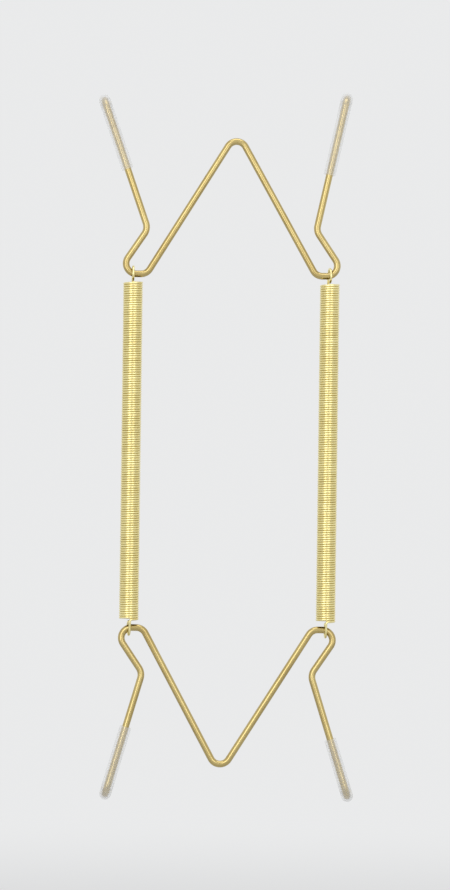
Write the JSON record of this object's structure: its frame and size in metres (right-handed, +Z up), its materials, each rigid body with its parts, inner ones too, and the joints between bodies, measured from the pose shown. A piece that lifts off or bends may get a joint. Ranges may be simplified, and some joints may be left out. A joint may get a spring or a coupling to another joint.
{
  "type": "wire plate hanger",
  "caption": "Sprung wire hanger that grips a plate by its rim with sleeved hooks and hangs on a nail by its top peak",
  "frame": {"origin": "the nail's seat, on the underside of the top wire's peak", "axes": "+Z up along the springs, +X to the right as seen from the wall side, +Y from the wall towards the plate"},
  "size_m": [0.0584, 0.0122, 0.1576],
  "materials": {
    "hook_wire": "bright drawn wire",
    "spring_wire": "bright drawn wire",
    "sleeve": "clear soft vinyl tube"
  },
  "bodies": {
    "top_form": {"top_hook_wire": "hook_wire", "top_left_sleeve": "sleeve", "top_right_sleeve": "sleeve"},
    "spring_upper_ends": {"left_spring": "spring_wire"},
    "spring_lower_ends": {"right_spring": "spring_wire"},
    "bottom_form": {"bottom_hook_wire": "hook_wire", "bottom_left_sleeve": "sleeve", "bottom_right_sleeve": "sleeve"}
  },
  "joints": [
    {"name": "top_swing", "type": "hinge", "parent": "top_form", "child": "spring_upper_ends", "pos_m": [-0.00075, 0, -0.02874], "axis": [1, 0, 0], "range_deg": [-110, 110]},
    {"name": "stretch", "type": "slide", "parent": "spring_upper_ends", "child": "spring_lower_ends", "axis": [0, 0, -1], "range_m": [0, 0.093], "stiffness_N_per_m": 162, "deforming": ["left_spring", "right_spring"]},
    {"name": "bottom_swing", "type": "hinge", "parent": "spring_lower_ends", "child": "bottom_form", "pos_m": [-0.00075, 0, -0.10734], "axis": [1, 0, 0], "range_deg": [-110, 110]}
  ]
}
